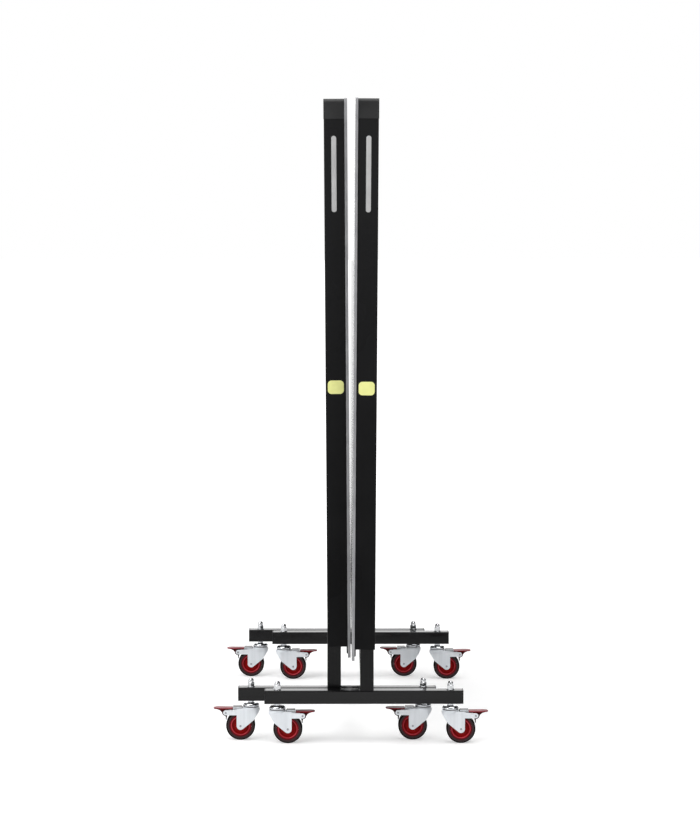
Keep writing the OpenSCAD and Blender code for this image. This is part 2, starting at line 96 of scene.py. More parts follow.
class Graph:
    """A node tree in the making."""

    def __init__(self, tree):
        self.tree = tree

    def add(self, kind, **settings):
        node = self.tree.nodes.new(kind)
        for key, value in settings.items():
            setattr(node, key, value)
        return node

    def link(self, source, target):
        self.tree.links.new(source, target)
        return self

    def ramp(self, source, low, high, start=0.35, end=0.65, curve="LINEAR"):
        """A map of a grey value onto the range from low to high."""
        node = self.add("ShaderNodeMapRange", interpolation_type=curve)
        node.inputs["From Min"].default_value = start
        node.inputs["From Max"].default_value = end
        node.inputs["To Min"].default_value = low
        node.inputs["To Max"].default_value = high
        self.link(source, node.inputs["Value"])
        return node.outputs["Result"]

    def maths(self, operation, first, second=0.0):
        node = self.add("ShaderNodeMath", operation=operation)
        for value, socket in ((first, node.inputs[0]), (second, node.inputs[1])):
            if isinstance(value, (int, float)):
                socket.default_value = value
            else:
                self.link(value, socket)
        return node.outputs["Value"]


class Finish(Graph):
    """A node material in the making: socket links read left to right, from coordinates to shader."""

    def __init__(self, name):
        self.material = bpy.data.materials.new(name)
        self.material.use_nodes = True
        super().__init__(self.material.node_tree)
        self.shader = self.tree.nodes["Principled BSDF"]
        self.coords = self.add("ShaderNodeTexCoord").outputs["Object"]

    def set(self, **values):
        for key, value in values.items():
            socket = self.shader.inputs[key.replace("_", " ")]
            socket.default_value = (*value, 1) if isinstance(value, tuple) else value
        return self

    def noise(self, scale, detail=3.0, rough=0.5, coords=None):
        node = self.add("ShaderNodeTexNoise")
        node.inputs["Scale"].default_value = scale
        node.inputs["Detail"].default_value = detail
        node.inputs["Roughness"].default_value = rough
        self.link(coords or self.coords, node.inputs["Vector"])
        return node.outputs["Fac"]

    def stretched(self, scale):
        """Object coordinates scaled along each axis, for a brushed or drawn grain."""
        node = self.add("ShaderNodeMapping")
        node.inputs["Scale"].default_value = scale
        self.link(self.coords, node.inputs["Vector"])
        return node.outputs["Vector"]

    def stops(self, source, *places):
        """A colour that passes through the given stops (place, colour) as a grey value grows."""
        node = self.add("ShaderNodeValToRGB")
        bar = node.color_ramp.elements
        for place, colour in places[1:-1]:
            bar.new(place).color = (*colour, 1)
        for element, (place, colour) in zip((bar[0], bar[len(bar) - 1]), (places[0], places[-1])):
            element.position = place
            element.color = (*colour, 1)
        self.link(source, node.inputs["Fac"])
        return node.outputs["Color"]

    def reach(self):
        """How far out on a wheel or up on a pedal a point lies, as stored on its mesh by mark_reach."""
        return self.add("ShaderNodeAttribute", attribute_name="reach").outputs["Fac"]

    def blend(self, factor, first, second):
        """A mix of two colours by a grey value; a colour is a tuple or a socket."""
        node = self.add("ShaderNodeMix", data_type="RGBA")
        self.link(factor, node.inputs["Factor"])
        for value, socket in ((first, node.inputs["A"]), (second, node.inputs["B"])):
            if isinstance(value, tuple):
                socket.default_value = (*value, 1)
            else:
                self.link(value, socket)
        return node.outputs["Result"]

    def bump(self, height, strength, distance=0.0005):
        node = self.add("ShaderNodeBump")
        node.inputs["Strength"].default_value = strength
        node.inputs["Distance"].default_value = distance
        self.link(height, node.inputs["Height"])
        self.link(node.outputs["Normal"], self.shader.inputs["Normal"])
        return self


PAINTED_LIGHT_FADE = (0.35, 1.5)  # heights between which a coat with an upper colour changes, in metres


def powder_coat(name, colour=(0.0056, 0.0056, 0.0059), rough=0.3, level=0.05, painted_light_top=None):
    """Black powder coat: fine orange peel, a slow drift in gloss and, if given, a fade to a lighter colour
    higher up, which is painted light.
    """
    coat = Finish(name)
    peel = coat.noise(420, 4)
    drift = coat.noise(6, 3)
    lighter = tuple(1.5 * c + 0.001 for c in colour)
    shade = coat.blend(coat.ramp(drift, 0, 1), colour, lighter)
    # Painted light: the coat turns lighter towards the top.
    if painted_light_top:
        place = coat.add("ShaderNodeSeparateXYZ")
        coat.link(coat.coords, place.inputs["Vector"])
        shade = coat.blend(coat.ramp(place.outputs["Z"], 0, 1, *PAINTED_LIGHT_FADE), shade, painted_light_top)
    coat.link(shade, coat.shader.inputs["Base Color"])
    coat.link(coat.ramp(drift, rough - 0.04, rough + 0.06), coat.shader.inputs["Roughness"])
    coat.set(Specular_IOR_Level=level)
    coat.bump(peel, 0.06, 0.0004)
    return coat.material


def moulded_plastic(name, colour, rough=0.5, grain=900, depth=0.25, level=0.5):
    """Moulded plastic: a fine spark-eroded grain and faint uneven gloss."""
    plastic = Finish(name)
    texture = plastic.noise(grain, 2)
    drift = plastic.noise(14, 3)
    lighter = tuple(1.25 * c + 0.001 for c in colour)
    shade = plastic.blend(plastic.ramp(drift, 0, 1), colour, lighter)
    plastic.link(shade, plastic.shader.inputs["Base Color"])
    plastic.link(plastic.ramp(drift, rough - 0.05, rough + 0.05), plastic.shader.inputs["Roughness"])
    plastic.set(Specular_IOR_Level=level)
    plastic.bump(texture, depth, 0.0003)
    return plastic.material


# A dark line is painted round the fork where it meets the swivel race: painted shade.
SEAM_Z = 87.05 * MM  # between a fork and its swivel race
SEAM_SHADE = (0.03, 0.03, 0.03)


def zinc(name, colour, rough, metal=1.0, grain=0.12, cloudy=0.18):
    """Bright zinc plate on pressed steel: faint spangle, upright bands, and a painted shade line along the
    swivel's seam.
    """
    plate = Finish(name)
    cloud = plate.noise(60, 4)
    drawn = plate.noise(5, 4, coords=plate.stretched((900, 900, 60)))
    bands = plate.noise(1, 2, coords=plate.stretched((110, 110, 2)))
    shade = plate.maths("ADD", plate.maths("MULTIPLY", cloud, 0.05), plate.maths("MULTIPLY", bands, 0.95))
    darker = tuple((1 - cloudy) * c for c in colour)
    height = plate.add("ShaderNodeSeparateXYZ")
    plate.link(plate.coords, height.inputs["Vector"])
    off_seam = plate.maths("ABSOLUTE", plate.maths("SUBTRACT", height.outputs["Z"], SEAM_Z))
    clean = plate.blend(plate.ramp(shade, 0, 1), colour, darker)
    # Painted shade in the seam between fork and race.
    seam_shade = plate.ramp(off_seam, 1, 0, 0.7 * MM, 1.3 * MM)
    plate.link(plate.blend(seam_shade, clean, SEAM_SHADE), plate.shader.inputs["Base Color"])
    plate.link(plate.ramp(cloud, rough - 0.02, rough + 0.02), plate.shader.inputs["Roughness"])
    plate.set(Metallic=metal)
    plate.bump(drawn, grain, 0.0002)
    return plate.material


def rubber(name):
    """Tyre rubber: reddish dark grey on the side walls, turning nearly black towards the tread."""
    tread = Finish(name)
    dust = tread.noise(90, 5, 0.7)
    wall = tread.stops(tread.reach(), (0.0, (0.056, 0.014, 0.018)), (0.3, (0.044, 0.026, 0.027)),
                       (0.56, (0.040, 0.026, 0.026)), (0.68, (0.004, 0.004, 0.004)))
    dusty = tread.blend(tread.ramp(dust, 0, 0.12, 0.45, 0.75), wall, (0.10, 0.09, 0.09))
    tread.link(dusty, tread.shader.inputs["Base Color"])
    tread.link(tread.ramp(dust, 0.55, 0.8), tread.shader.inputs["Roughness"])
    tread.link(tread.ramp(tread.reach(), 0.2, 0.02, 0.5, 0.7), tread.shader.inputs["Specular IOR Level"])
    tread.bump(tread.noise(1500, 2), 0.2, 0.0002)
    return tread.material


def gloss_red(name, colour, rough, level=0.5, bands=()):
    """Red polyurethane or nylon: saturated, slightly cloudy, softly polished, with colour bands along its
    reach that carry painted highlights and painted shade.
    """
    red = Finish(name)
    cloud = red.noise(45, 4)
    shade = red.stops(red.reach(), (0.0, colour), *bands) if bands else colour
    deep = tuple(0.7 * c for c in colour)
    red.link(red.blend(red.ramp(cloud, 0, 0.5), shade, deep), red.shader.inputs["Base Color"])
    red.link(red.ramp(cloud, rough - 0.05, rough + 0.08), red.shader.inputs["Roughness"])
    red.set(Specular_IOR_Level=level)
    red.bump(red.noise(700, 2), 0.06, 0.0002)
    return red.material


BOARD_W = 1525 * MM
FACE_UP = 38 * MM  # from the panel's pivot to the playing face
NET_REACH = 452 * MM  # from the panel's pivot to the net
PLAYER_END = 918 * MM  # from the panel's pivot to the player's end
SIDE_LINE = 20 * MM
MIDDLE_LINE = 3 * MM
EDGE_BAND = 2.4 * MM
BACK_ROUGH = 0.5
SHINE_ROUGH = 0.07  # the playing face at a grazing look
LINE_WHITE = (0.72, 0.72, 0.70)
BACK_BLACK = (0.014, 0.014, 0.015)


def board_finish(side):
    """Coated board: dark playing face with white lines, black back and a pale grey edge band.

    The face is matt and shines only at a grazing look. The pattern is read in the panel's own frame:
    x across its thickness from the pivot, y across the table and z towards the player's end.
    """
    board = Finish(f"{side}_board_finish")
    pivot = joint_at(f"{side}_panel_fold")
    place = board.add("ShaderNodeMapping", vector_type="TEXTURE")
    place.inputs["Location"].default_value = pivot
    place.inputs["Rotation"].default_value = (0, facing(side) * LEAN, 0)
    board.link(board.coords, place.inputs["Vector"])
    split = board.add("ShaderNodeSeparateXYZ")
    board.link(place.outputs["Vector"], split.inputs["Vector"])
    x = board.maths("MULTIPLY", split.outputs["X"], facing(side))
    y = board.maths("ABSOLUTE", split.outputs["Y"])
    z = split.outputs["Z"]
    side_line = board.maths("GREATER_THAN", y, BOARD_W / 2 - SIDE_LINE)
    end_line = board.maths("GREATER_THAN", z, PLAYER_END - SIDE_LINE)
    middle_line = board.maths("LESS_THAN", y, MIDDLE_LINE / 2)
    line = board.maths("MAXIMUM", board.maths("MAXIMUM", side_line, end_line), middle_line)
    on_face = board.maths("LESS_THAN", x, -FACE_UP + 0.3 * MM)
    cloud = board.noise(9, 4)
    paint = board.blend(board.ramp(cloud, 0, 1), (0.020, 0.022, 0.026), (0.027, 0.029, 0.034))
    face = board.blend(line, paint, LINE_WHITE)
    rim_y = board.maths("GREATER_THAN", y, BOARD_W / 2 - EDGE_BAND)
    rim_top = board.maths("GREATER_THAN", z, PLAYER_END - EDGE_BAND)
    rim_net = board.maths("LESS_THAN", z, -NET_REACH + EDGE_BAND)
    rim = board.maths("MAXIMUM", board.maths("MAXIMUM", rim_y, rim_top), rim_net)
    band = board.blend(board.ramp(board.noise(30, 3), 0, 1), (0.25, 0.25, 0.26), (0.31, 0.31, 0.32))
    back = board.blend(rim, BACK_BLACK, band)
    board.link(board.blend(on_face, back, face), board.shader.inputs["Base Color"])
    grazing = board.add("ShaderNodeLayerWeight").outputs["Facing"]
    polish = board.maths("SUBTRACT", board.ramp(grazing, BACK_ROUGH, SHINE_ROUGH, 0.8, 0.95), BACK_ROUGH)
    rough = board.maths("ADD", board.maths("MULTIPLY", polish, on_face), BACK_ROUGH)
    board.link(rough, board.shader.inputs["Roughness"])
    grain = board.maths("MULTIPLY", board.noise(1300, 2), board.maths("SUBTRACT", 1.0, on_face))
    board.bump(grain, 0.15, 0.0002)
    return board.material


# The apron, foot and post coats are darker copies of the one black frame coat: painted shade.
BLACK = powder_coat("black_powder_coat")
APRON_BLACK = powder_coat("apron_powder_coat", (0.0046, 0.0046, 0.0049), 0.3, 0.05, (0.0152, 0.0152, 0.0158))
FOOT_BLACK = powder_coat("foot_powder_coat", (0.0038, 0.0038, 0.0041), 0.12, 0.3)
POST_BLACK = powder_coat("post_powder_coat", (0.0046, 0.0046, 0.0049), 0.2, 0.17)
FITTING_BLACK = powder_coat("fitting_black", (0.012, 0.012, 0.013), 0.38)
GUARD = moulded_plastic("guard_plastic", (0.019, 0.019, 0.0195), 0.42, level=0.3)
BLACK_PLASTIC = moulded_plastic("black_plastic", (0.010, 0.010, 0.011), 0.45, level=0.3)
FORK_ZINC = zinc("fork_zinc", (0.90, 0.935, 0.975), 0.32, 0.15, 0.0, 0.07)
RACE_ZINC = zinc("race_zinc", (0.72, 0.74, 0.77), 0.16)
NUT_ZINC = zinc("nut_zinc", (0.78, 0.79, 0.81), 0.12)
RIVET_STEEL = zinc("rivet_steel", (0.46, 0.46, 0.49), 0.4, 0.3, 0.05, 0.2)
TYRE = rubber("tyre_rubber")
# The core's bright ring on the lip is a painted highlight; the darker band from the lip out to the tyre is
# painted shade.
CORE_DEEP = (0.30, 0.0005, 0.0015)
CORE_LIP_HIGHLIGHT = (0.66, 0.068, 0.088)
CORE_OUTER_SHADE = (0.13, 0.006, 0.012)
CORE_RED = gloss_red("core_red", CORE_DEEP, 0.35, 0.1,
                     ((0.71, CORE_DEEP), (0.76, CORE_LIP_HIGHLIGHT), (0.82, CORE_LIP_HIGHLIGHT), (0.86, CORE_OUTER_SHADE)))
# The pedal is painted lighter on its top, a painted highlight, and darker along its lower edge, painted
# shade.
PEDAL_EDGE = (0.19, 0.001, 0.004)
PEDAL_TOP_HIGHLIGHT = (0.29, 0.014, 0.028)
PEDAL_RED = gloss_red("pedal_red", PEDAL_EDGE, 0.35, 0.14, ((0.5, PEDAL_EDGE), (0.8, PEDAL_TOP_HIGHLIGHT)))
# The lever is painted a darker red than the pedal, nearly black towards its lower end: painted shade under
# the tread.
LEVER_FOOT_SHADE = (0.012, 0.003, 0.004)
LEVER_SHADE = (0.055, 0.001, 0.003)
LEVER_RED = gloss_red("lever_red", LEVER_FOOT_SHADE, 0.45, 0.1, ((0.34, LEVER_FOOT_SHADE), (0.48, LEVER_SHADE)))
LABEL_YELLOW = moulded_plastic("label_yellow", (0.68, 0.69, 0.26), 0.45, 300, 0.05)
LABEL_GREY = moulded_plastic("label_grey", (0.42, 0.42, 0.42), 0.45, 300, 0.05)

FINISH_OF = {
    "side_rails": APRON_BLACK, "cross_rails": BLACK, "corner_guards": GUARD, "pivot_brackets": FITTING_BLACK,
    "leg_frame": BLACK, "levellers": BLACK_PLASTIC, "link_bars": FITTING_BLACK, "posts": POST_BLACK,
    "feet": FOOT_BLACK, "cross_tubes": FOOT_BLACK, "end_caps": BLACK_PLASTIC, "caster_stems": RACE_ZINC,
    "acorn_nuts": NUT_ZINC, "fork": FORK_ZINC, "tyre": TYRE, "wheel_core": CORE_RED,
    "brake_pedal": PEDAL_RED,
}


def finish_node(name):
    """Gives a CAD node the finish of its kind."""
    mesh = NODES[name].data
    mesh.materials.clear()
    if name.endswith("_board"):
        mesh.materials.append(board_finish(name.split("_")[0]))
        return
    kind = next(k for k in FINISH_OF if name.endswith(k))
    mesh.materials.append(FINISH_OF[kind])


for node_name in NODES:
    finish_node(node_name)


# ---------------------------------------------------------------- surfaces

def surface(name, points, around, along=False):
    """A quad mesh over a grid of points; `around` joins the last column to the first, `along` the rows.

    Rows shrunk to a point are merged, so that a grid from pole to pole closes.
    """
    rows, columns = points.shape[:2]
    index = np.arange(rows * columns).reshape(rows, columns)
    if around:
        index = np.concatenate([index, index[:, :1]], axis=1)
    if along:
        index = np.concatenate([index, index[:1]], axis=0)
    quads = np.stack([index[:-1, :-1], index[:-1, 1:], index[1:, 1:], index[1:, :-1]], axis=-1)
    mesh = bpy.data.meshes.new(name)
    mesh.from_pydata(points.reshape(-1, 3).tolist(), [], quads.reshape(-1, 4).tolist())
    clean = bmesh.new()
    clean.from_mesh(mesh)
    bmesh.ops.remove_doubles(clean, verts=clean.verts, dist=1e-7)
    bmesh.ops.dissolve_degenerate(clean, edges=clean.edges, dist=1e-7)
    bmesh.ops.recalc_face_normals(clean, faces=clean.faces)
    clean.to_mesh(mesh)
    clean.free()
    piece = bpy.data.objects.new(name, mesh)
    bpy.context.scene.collection.objects.link(piece)
    return piece


def smooth(piece, angle=32):
    """Smooth shading except across edges sharper than the angle."""
    mesh = piece.data
    mesh.polygons.foreach_set("use_smooth", [True] * len(mesh.polygons))
    mesh.set_sharp_from_angle(angle=math.radians(angle))
    return piece


def dress(piece, material, body, slot, *nodes):
    """Finishes a piece, hangs it on its CAD body and lets it stand for CAD nodes."""
    piece.data.materials.clear()
    piece.data.materials.append(material)
    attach(piece, body)
    if nodes:
        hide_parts(*nodes)
    return piece


def basis(axis):
    """Two unit vectors that make a right-handed set with the axis."""
    axis = np.array(axis, float)
    side = np.cross(axis, (1, 0, 0) if abs(axis[0]) < 0.9 else (0, 0, 1))
    side /= np.linalg.norm(side)
    return side, np.cross(axis, side)


def revolve(name, profile, centre, axis=(0, 0, 1), steps=96, closed=False):
    """Turns a profile of (radius, height) round an axis: P(s, a) = C + h(s) n + r(s)(u cos a + v sin a)."""
    first, second = basis(axis)
    angle = np.arange(steps) * 2 * PI / steps
    radius, height = np.array(profile, float).T
    ring = np.cos(angle)[:, None] * first + np.sin(angle)[:, None] * second
    points = (np.array(centre, float) + height[:, None, None] * np.array(axis, float)
              + radius[:, None, None] * ring)
    return surface(name, points, around=True, along=closed)


def fillet(corners, closed=False, steps=4):
    """Rounds a polyline: each corner (a, b, r) becomes points on the Bezier that leaves it by r each way.

    B(t) = (1-t)^2 P0 + 2t(1-t) P1 + t^2 P2, with P0 and P2 at most 0.45 of the way along each side.
    """
    t = np.linspace(0, 1, steps + 1)[:, None]
    points = []
    count = len(corners)
    for i, (a, b, r) in enumerate(corners):
        here = np.array((a, b), float)
        if r == 0 or (not closed and i in (0, count - 1)):
            points.append(here)
            continue
        before = np.array(corners[i - 1][:2], float) - here
        after = np.array(corners[(i + 1) % count][:2], float) - here
        start = here + before * min(r / np.linalg.norm(before), 0.45)
        end = here + after * min(r / np.linalg.norm(after), 0.45)
        points.extend((1 - t) ** 2 * start + 2 * t * (1 - t) * here + t ** 2 * end)
    return np.array(points)


def capped(loops):
    """Rows of loops with a fan to the middle of the first and of the last, so that both ends close."""
    first = np.repeat(loops[:1].mean(axis=1, keepdims=True), loops.shape[1], axis=1)
    last = np.repeat(loops[-1:].mean(axis=1, keepdims=True), loops.shape[1], axis=1)
    return np.concatenate([first, loops, last])


def signed_power(values, power):
    """sign(v) |v|^p, which turns the sine and cosine of an angle into a superellipse of order 2 / p."""
    return np.sign(values) * np.abs(values) ** power


def along_path(name, path, section):
    """A section swept along a path: P(s, a) = C(s) + x(s, a) U(s) + y(s, a) V, with V the Y axis.

    The path lies in a plane of constant y. The section is a closed loop of (x, y) for each path point.
    """
    tangent = np.gradient(path, axis=0)
    tangent /= np.linalg.norm(tangent, axis=1, keepdims=True)
    across = np.array((0.0, 1.0, 0.0))
    up = np.cross(tangent, across)
    loops = path[:, None] + section[:, :, :1] * up[:, None] + section[:, :, 1:] * across
    return surface(name, capped(loops), around=True)


# ---------------------------------------------------------------- softened steel and plastic

def soften(name, width, body, segments=2):
    """A CAD node's own shape with its flat faces merged and its edges rounded by a bevel modifier."""
    source = NODES[name]
    mesh = source.data.copy()
    clean = bmesh.new()
    clean.from_mesh(mesh)
    bmesh.ops.remove_doubles(clean, verts=clean.verts, dist=2e-6)
    bmesh.ops.dissolve_limit(clean, angle_limit=math.radians(0.6), use_dissolve_boundaries=False,
                             verts=clean.verts, edges=clean.edges, delimit=set())
    bmesh.ops.recalc_face_normals(clean, faces=clean.faces)
    clean.to_mesh(mesh)
    clean.free()
    piece = bpy.data.objects.new(f"soft_{name}", mesh)
    bpy.context.scene.collection.objects.link(piece)
    bevel = piece.modifiers.new("rounded edges", "BEVEL")
    bevel.width = width
    bevel.segments = segments
    bevel.limit_method = "ANGLE"
    bevel.angle_limit = math.radians(35)
    bevel.use_clamp_overlap = True
    bevel.harden_normals = True
    smooth(piece, 35)
    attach(piece, body)
    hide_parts(name)
    return piece


SOFT_PARTS = {  # part: the body it rides on, its edge radius in millimetres and its slot
    "board": ("panel", 0.6, "board_face"),
    "side_rails": ("panel", 0.3, "black_powder_coat"),
    "cross_rails": ("panel", 0.3, "black_powder_coat"),
    "corner_guards": ("panel", 0.7, "guard_plastic"),
    "pivot_brackets": ("panel", 0.5, "black_steel_fittings"),
    "leg_frame": ("legs", 0.3, "black_powder_coat"),
    "levellers": ("legs", 0.8, "black_plastic"),
    "link_bars": ("links", 0.6, "black_steel_fittings"),
    "posts": ("carriage", 0.3, "black_powder_coat"),
    "feet": ("carriage", 0.3, "black_powder_coat"),
    "cross_tubes": ("carriage", 0.3, "black_powder_coat"),
    "end_caps": ("carriage", 0.6, "black_plastic"),
}
FORK_EDGE = 0.9 * MM

for side in SIDES:
    for part, (body, edge, slot) in SOFT_PARTS.items():
        soften(f"{side}_{part}", edge * MM, f"{side}_{body}")
    for corner in CORNERS:
        soften(f"{side}_{corner}_fork", FORK_EDGE, f"{side}_{corner}_swivel", 3)


# ---------------------------------------------------------------- casters

FOOT_TOP = 138 * MM
TREAD_R = 37.5  # the wheel, in millimetres
CORE_R = 28.4
HUB_R = 6.1
PIN_OUT = 65.2  # from the swivel's middle to the brake pin
FORK_SIDE = 16.05  # from the fork's middle to its outer faces
AXLE_HEAD_R = 2.7
PIN_HEAD_R = 2.6


def mark_reach(piece, measure, start, end):
    """Stores on each vertex where its measure in millimetres lies between two values, from 0 to 1."""
    mesh = piece.data
    places = np.empty(3 * len(mesh.vertices))
    mesh.vertices.foreach_get("co", places)
    reach = (measure(places.reshape(-1, 3)) / MM - start) / (end - start)
    mesh.attributes.new("reach", "FLOAT", "POINT").data.foreach_set("value", np.clip(reach, 0, 1))
    return piece


def height_of(places):
    """The height of each place."""
    return places[:, 2]


def from_axle(centre):
    """A measure of the distance from a wheel's axle."""
    return lambda places: np.hypot(places[:, 0] - centre[0], places[:, 2] - centre[2])


def tyre(place, centre):
    """A tyre as a closed loop turned round the axle.

    Its loop (r, y) runs over a flat tread with two grooves 0.7 mm deep, round 4 mm shoulders and down
    the slightly hollow side walls to the core.
    """
    half = [(TREAD_R, 0.4, 0), (TREAD_R, 3.2, 0.3), (TREAD_R - 0.7, 3.5, 0.2), (TREAD_R - 0.7, 4.3, 0.2),
            (TREAD_R, 4.6, 0.3), (TREAD_R, 11.2, 4.0), (34.0, 11.5, 1.5), (32.4, 11.1, 0.5),
            (31.8, 11.3, 0.5), (29.6, 11.0, 0.8), (CORE_R + 0.2, 10.2, 0.3)]
    loop = half + [(r, -y, f) for r, y, f in reversed(half)]
    profile = fillet(loop, closed=True, steps=5) * MM
    ring = revolve(f"{place}_rubber_tyre", profile, centre, (0, 1, 0), 160, closed=True)
    return smooth(mark_reach(ring, from_axle(centre), CORE_R + 0.2, TREAD_R), 50)


def wheel_core(place, centre):
    """A dished wheel centre: hub, deep recess and a rounded lip, all one loop turned round the axle."""
    half = [(HUB_R, 12.5, 0.3), (9.4, 12.5, 0.5), (10.2, 11.8, 0.5), (11.6, 6.0, 1.5), (13.5, 4.7, 1.5),
            (21.4, 4.7, 1.6), (22.6, 9.8, 1.0), (23.2, 11.0, 0.9), (24.6, 11.1, 0.9), (25.3, 10.3, 0.5),
            (CORE_R, 10.0, 0.3)]
    loop = half + [(r, -y, f) for r, y, f in reversed(half)]
    profile = fillet(loop, closed=True, steps=5) * MM
    dish = revolve(f"{place}_dished_core", profile, centre, (0, 1, 0), 128, closed=True)
    return smooth(mark_reach(dish, from_axle(centre), HUB_R, CORE_R), 40)


def swivel_race(place, centre):
    """The fixed half of the swivel head: a rounded ring, a flat top and a neck up to the foot."""
    half = [(0, 87.3, 0), (19.8, 87.3, 0.6), (21.0, 88.6, 0.9), (21.0, 92.6, 2.2), (17.8, 96.3, 2.6),
            (9.4, 96.5, 1.2), (7.5, 97.5, 1.0), (7.5, 102.95, 0.2), (0, 102.95, 0)]
    profile = fillet(half, steps=6) * MM
    return smooth(revolve(f"{place}_race", profile, centre, steps=96), 40)


def threaded_stem(place, centre):
    """The stem through the foot and the rivet head that holds the fork: a profile turned round the stem."""
    half = [(0, 75.5, 0), (6.5, 75.5, 0.6), (8.4, 76.4, 0.8), (8.4, 79.4, 0.3), (4.9, 79.45, 0.1),
            (4.9, 148.0, 0.5), (0, 148.6, 0)]
    profile = fillet(half, steps=3) * MM
    return smooth(revolve(f"{place}_stem", profile, centre, steps=48), 40)


def acorn_nut(place, centre):
    """A washer under a hexagon nut with a domed cap, a surface P(z, a) of radius r(z, a) round the stem.

    The hexagon's radius is w / cos(((a + 30) mod 60) - 30) degrees for half the flats w, cut back by a
    chamfer c(z) at both ends; the dome is half of an ellipsoid over a short neck.
    """
    bottom, top = 1.7, 11.6
    dome_from, dome_r, dome_high = 15.4, 7.4, 7.7
    washer = np.array([(0, 0), (0, 9.6), (0.25, 10), (1.3, 10), (1.6, 9.7), (1.62, 9.2)])
    neck = np.array([(11.7, 8.0), (12.2, 7.45), (13.2, dome_r), (dome_from, dome_r)])
    turn = np.linspace(0, PI / 2, 14)[1:]
    dome = np.stack([dome_from + dome_high * np.sin(turn), dome_r * np.cos(turn)], axis=1)
    angle = np.arange(144) * 2 * PI / 144
    hexagon = 8.5 / np.cos((angle + PI / 6) % (PI / 3) - PI / 6)
    level = np.linspace(bottom, top, 23)
    chamfer = 8.9 + 1.15 * np.minimum(np.minimum(1, (level - bottom) / 0.7), (top - level) / 1.1)
    heights = np.concatenate([washer[:, 0], level, neck[:, 0], dome[:, 0]])[:, None]
    radii = np.concatenate([np.repeat(washer[:, 1:], len(angle), axis=1),
                            np.minimum(hexagon, chamfer[:, None]),
                            np.repeat(np.concatenate([neck, dome])[:, 1:], len(angle), axis=1)])
    points = np.stack([radii * np.cos(angle), radii * np.sin(angle), heights + 0 * radii], axis=-1) * MM
    return smooth(surface(f"{place}_nut", points + np.array(centre, float), around=True), 30)


def by_pin(pin, f, x, y, z):
    """Points of a pedal: x from the swivel's middle, y across and z up, in millimetres."""
    return np.stack([pin[0] + f * (x - PIN_OUT) * MM, pin[1] + f * y * MM, z * MM], axis=-1)


def quarter(values):
    """sqrt(1 - v^2) for v from 0 to 1, the fall of a quarter circle, and 0 past it."""
    return np.sqrt(np.clip(1 - values ** 2, 0, 1))


def tread(place, pin, f):
    """The pedal's tread: a thin plate with a rounded tip.

    Across stations x along the pedal its half width is w(x) = 15, falling as a quarter circle at the
    tip; each section is a superellipse |y/w|^8 + |z/h|^6 = 1, with small grip ribs on its top.
    """
    root, full, round_from, thin_from, tip = 47.2, 50.2, 82, 95.6, 97  # stations from the swivel's middle
    wide, thick = tip - round_from, 1.6
    x = np.concatenate([[root], np.linspace(47.3, full, 8), np.linspace(51, 81, 61),
                        round_from + wide * np.sin(np.linspace(0, PI / 2, 26))])
    start = np.clip((x - root) / (full - root), 0, 1)
    half = 12.6 + 2.4 * quarter(1 - start)
    half = np.where(x > round_from, wide * quarter((x - round_from) / wide), half)
    deep = thick * quarter(1 - np.clip((x - root) / 1.2, 0, 1))
    deep = np.where(x > thin_from, thick * quarter((x - thin_from) / (tip - thin_from)), deep)
    level = 82.0 + 0.012 * (x - root)
    angle = np.arange(64) * 2 * PI / 64
    across = signed_power(np.cos(angle), 2 / 8)
    height = signed_power(np.sin(angle), 2 / 6)
    y = half[:, None] * across
    z = level[:, None] + deep[:, None] * height
    grip_from, grip_to, pitch = 68, 88, 4
    wave = 0.35 * (1 - np.cos(2 * PI * (x - grip_from) / pitch)) / 2
    ribs = np.where((x > grip_from) & (x < grip_to), wave, 0)[:, None]
    inside = np.clip(1.2 - np.abs(y) / np.maximum(half[:, None], 1e-6) * 1.35, 0, 1) * (height > 0.6)
    points = by_pin(pin, f, x[:, None] + 0 * y, y, z - ribs * inside)
    plate = surface(f"{place}_tread", points, around=True)
    return smooth(mark_reach(plate, height_of, 80.4, 83.6), 40)


SHOE_Z = 53.5  # the lever's lower end, clear of the tyre at full press


def lever(place, pin, f):
    """The pedal's lever: a plate that runs from the tread round the brake pin and down to the shoe.

    Its side outline is two polylines of (x, z) with rounded corners, outer and inner, with as many points
    each; they are joined across the plate's width by a section with softened edges.
    """
    outer = fillet([(89.6, 81.2, 0), (80.0, 78.2, 5.0), (74.9, 72.6, 4.0), (73.4, 66.6, 2.6),
                    (69.6, 63.9, 2.2), (65.3, 62.2, 2.0), (65.3, SHOE_Z + 0.1, 0)], steps=5)
    inner = fillet([(55.0, 81.4, 0), (58.2, 79.6, 2.0), (59.8, 75.0, 2.0), (60.4, 70.0, 2.0),
                    (61.0, 66.0, 1.6), (62.2, 61.6, 2.0), (63.5, SHOE_Z, 0)], steps=5)
    half = 12.0
    section = np.array([(0, -0.96), (0.02, -1), (0.98, -1), (1, -0.96),
                        (1, 0.96), (0.98, 1), (0.02, 1), (0, 0.96)])
    side_on = inner[:, None] + section[:, :1] * (outer - inner)[:, None]
    y = section[:, 1] * half + 0 * side_on[..., 0]
    rows = by_pin(pin, f, side_on[..., 0], y, side_on[..., 1])
    plate = surface(f"{place}_lever", capped(rows), around=True)
    return smooth(mark_reach(plate, height_of, SHOE_Z, 84), 35)


def rivet(name, centre, offset, radius):
    """A peened rivet end with a small dimple, turned round its pin and proud of one side of the fork."""
    out = 1 if offset > 0 else -1
    half = [(0, 0, 0), (radius, 0, 0.1), (radius, 0.8, 0.2), (1.8, 1.2, 0.3), (1.3, 0.95, 0.2), (0, 0.9, 0)]
    profile = fillet([(r, out * h, e) for r, h, e in half], steps=3) * MM
    middle = (centre[0], centre[1] + offset * MM, centre[2])
    return smooth(revolve(name, profile, middle, (0, 1, 0), 40), 40)


